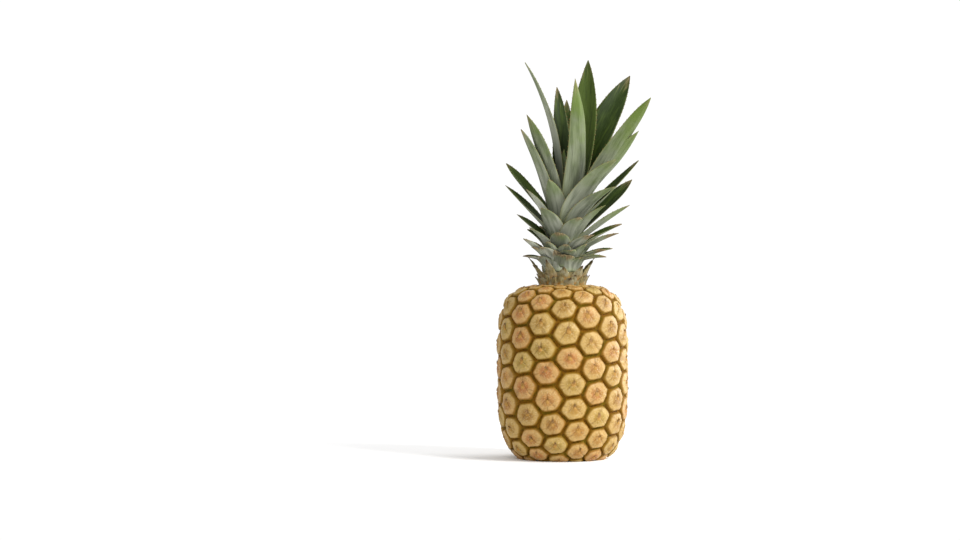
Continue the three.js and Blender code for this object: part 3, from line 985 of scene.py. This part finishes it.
def add_leaf(heap, number, azimuth, root, reach, tip, width, lift, twist):
    turn = math.radians(azimuth)
    outward = np.array([math.cos(turn), math.sin(turn), 0])
    side = np.array([-outward[1], outward[0], 0])
    upward = np.array([0, 0, 1])
    start_reach = stem_radius(root) * (leaf.root_place + leaf.root_stray * draw(number + 0.75))
    start = outward * start_reach + upward * root
    end = outward * reach + upward * tip + side * leaf.stray_tip * draw(number + 0.5)
    chord = np.linalg.norm(end - start)
    lean = math.atan2(reach - start_reach, tip - root) - math.radians(lift)
    middle = start + 0.5 * chord * (outward * math.sin(lean) + upward * math.cos(lean))

    rows = max(leaf.least_rows, round(chord / leaf.row_length)) + 1
    along = np.linspace(0, 1, rows) ** 0.92
    points, tangents = bezier(start, middle, end, along)
    foot = max(width * 0.8, min(leaf.sheath, 1.5 * stem_radius(root)))
    blade = width * (1 - along ** leaf.fullness) ** 0.85
    half = np.maximum(leaf.tip_width, foot + (blade - foot) * ease(along, 0, leaf.sheath_end)) / 2

    place = np.linspace(-1, 1, leaf.columns)
    away = np.abs(place)
    phase = 9 * draw(number + 0.35)
    wave = 0.05 * width * 0.3 * np.sin(along * chord / 9 + phase)[:, None] * place ** 5
    wave *= ease(along, 0.1, 0.4)[:, None]
    camber = leaf.channel * half[:, None] * away ** 1.5 + wave
    rib = leaf.rib + (leaf.tip_rib - leaf.rib) * along[:, None]
    thickness = leaf.rim + (rib - leaf.rim) * (1 - away ** 1.3)
    twist = math.radians(twist)
    inner, outer = blade_grids(points, tangents, side, half, camber, thickness, twist)
    shape, faces = slab(inner, outer)

    # The lowest leaves are old, and dry at their tips. The highest get painted shade at the foot.
    # The waxy bloom lies thickest low in the crown; more of it towards the left is painted light.
    low = 1 - ease(root, 178, 208)
    leftward = max(0, -math.cos(turn))
    values = {
        "tone": draw(number + 0.65),
        "age": (0.06 + 0.34 * low) * (0.6 + 0.4 * draw(number + 0.25)),
        "young": ease(root, 222, 232),
        "wax": 0.1 + 0.4 * (1 - ease(root, 178, 226)) + 0.4 * leftward + 0.2 * draw(number + 0.85),
    }
    heap.add(
        shape,
        faces,
        **values,
        along=np.tile(np.repeat(along, leaf.columns), 2),
        spine=0,
        inner=np.repeat([1, 0], rows * leaf.columns),
        across=np.tile((half[:, None] * place).ravel(), 2),
        way=np.tile(np.repeat(along * chord, leaf.columns), 2),
        edge=np.tile(away, 2 * rows),
    )
    if chord > leaf.shortest_spined:
        for edge in (0, -1):
            add_spines(heap, inner[:, edge], points, tangents, chord, values)


def make_crown():
    heap = Heap()
    turn = np.linspace(0, 2 * math.pi, stem.sides, endpoint=False)[None, :]
    level = np.linspace(stem.bottom, stem.top, stem.rings)[:, None]
    core = stacked_rings(stem_radius(level) * stem.core, level, turn)
    carried = ("tone", "age", "wax", "young", "along", "spine", "inner", "across", "way", "edge")
    heap.add(*core, **dict.fromkeys(carried, 0))
    leaves = [*standing_out, *spiral_leaves(), *ring_leaves()]
    for number, place in enumerate(leaves):
        add_leaf(heap, number, *place)
    return heap.piece("leaves")


def leaf_finish():
    """Grey bloom rubbed off to green on the outer face, dark green within, straw at dry tips."""
    finish = Finish("leaf", {"Specular IOR Level": 0.14, "Coat Roughness": 0.6})
    inner = finish.carried("inner")
    along = finish.carried("along")
    tone = finish.carried("tone")
    age = finish.carried("age")
    wax = finish.carried("wax")
    young = finish.carried("young")
    edge = finish.carried("edge")
    spiny = finish.carried("spine")
    lines = streaks(finish, 0.55)
    broad = streaks(finish, 3.2, 0.12)
    cloudy = finish.speckle(16)

    blotched = finish.between(broad + tone * 0.12, 0.32, 0.68)
    bloom = finish.mix(blotched, pigment(70, 77, 58), pigment(110, 116, 93))
    bloom = finish.mix(finish.between(lines, 0.4, 0.72) * 0.35, bloom, pigment(146, 152, 126))
    # More wax makes the outer face paler and greyer. The share of it that grows towards the crown's
    # left is painted light.
    bloom = finish.mix(wax * (0.35 + 0.6 * blotched), bloom, pigment(182, 184, 170))
    rubbed = finish.between(along + (cloudy - 0.5) * 0.8, 0.35, 1)
    outer = finish.mix(rubbed * (0.85 - 0.7 * wax), bloom, pigment(84, 104, 32))
    # The foot of the outer face of the highest leaves is darkened: painted shade.
    shaded = 1 - finish.between(along, 0.2, 0.6)
    outer = finish.mix(shaded * young * 0.8, outer, pigment(30, 40, 18))
    clouded = finish.between(broad + tone * 0.15, 0.3, 0.7)
    green = finish.mix(clouded, pigment(34, 48, 12), pigment(64, 80, 26))
    green = finish.mix(finish.between(lines, 0.45, 0.75) * 0.3, green, pigment(82, 102, 50))
    # The inner face darkens almost to black towards its foot: painted shade between the leaves.
    green = finish.mix((1 - finish.between(along, 0.1, 0.5)) * 0.8, green, pigment(14, 20, 5))
    face = finish.mix(inner, outer, green)
    footward = 1 - finish.between(along, 0.02, 0.3)
    pale = finish.mix(footward * 0.4, face, pigment(136, 150, 100))
    # Towards the foot the edges darken to brown: partly the sheath's own brown margin, partly
    # painted shade where the leaves overlap.
    pale = finish.mix(footward * finish.between(edge, 0.7, 1) * 0.6, pale, pigment(84, 80, 46))
    margin = finish.mix(finish.between(edge, 0.9, 1) * 0.4, pale, pigment(134, 136, 84))
    lined = finish.between(lines, 0.35, 0.65)
    straw = finish.mix(lined, pigment(92, 76, 50), pigment(146, 128, 96))
    dry = finish.between(along + (broad - 0.5) * 0.3 + (lines - 0.5) * 0.3 + age, 0.92, 1.14)
    tipped = finish.mix(dry * 0.9, margin, straw)
    colour = finish.mix(spiny * 0.8, tipped, pigment(122, 84, 48))
    finish.feed({
        "Base Color": colour,
        "Roughness": 0.72 - 0.14 * inner + 0.15 * (lines - 0.5) + 0.15 * dry,
        "Coat Weight": 0.03 * inner,
    })
    finish.bump(lines * 0.6 + broad * 0.4, 0.22)
    return finish.material


leaves = make_crown()
leaves.data.materials.append(leaf_finish())
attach(leaves, "root")
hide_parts("crown")


# The studio: a plain white board, a metre square, under an even white sky. A strong lamp stands
# to the front right, a wide one behind it to the right, and a weak one in front to the left.
board_half_width = 0.5
sky_light = 0.72
sky_to_camera = 1.05
lamp_aim = Vector((0, 0, 0.17))

floor_mesh = bpy.data.meshes.new("floor")
board_corners = [
    (side * board_half_width, depth * board_half_width, 0)
    for side, depth in ((-1, -1), (1, -1), (1, 1), (-1, 1))
]
floor_mesh.from_pydata(board_corners, [], [(0, 1, 2, 3)])
floor = bpy.data.objects.new("floor", floor_mesh)
bpy.context.scene.collection.objects.link(floor)
paper = Finish("white_paper", {
    "Base Color": (0.9, 0.9, 0.9, 1),
    "Roughness": 0.9,
    "Specular IOR Level": 0,
})
floor_mesh.materials.append(paper.material)

# The sky is whiter to the camera than it shines, so that the edge of the board is lost in it.
world = bpy.data.worlds.new("studio")
world.use_nodes = True
sky = world.node_tree.nodes["Background"]
sky.inputs["Color"].default_value = (1, 1, 1, 1)
seen = world.node_tree.nodes.new("ShaderNodeLightPath")
strength = world.node_tree.nodes.new("ShaderNodeMapRange")
strength.inputs["To Min"].default_value = sky_light
strength.inputs["To Max"].default_value = sky_to_camera
world.node_tree.links.new(seen.outputs["Is Camera Ray"], strength.inputs["Value"])
world.node_tree.links.new(strength.outputs[0], sky.inputs["Strength"])
bpy.context.scene.world = world
bpy.context.scene.view_settings.view_transform = "Standard"


def add_lamp(name, place, size, power):
    data = bpy.data.lights.new(name, "AREA")
    data.size = size
    data.energy = power
    lamp = bpy.data.objects.new(name, data)
    lamp.location = place
    lamp.rotation_euler = (lamp_aim - Vector(place)).to_track_quat("-Z", "Y").to_euler()
    bpy.context.scene.collection.objects.link(lamp)


add_lamp("right_lamp", (1.6, -1.1, 1.3), 0.7, 52)
add_lamp("front_lamp", (-0.6, -1.8, 1.2), 1.2, 10)
add_lamp("rim_lamp", (1.7, 0.9, 0.7), 1.5, 45)
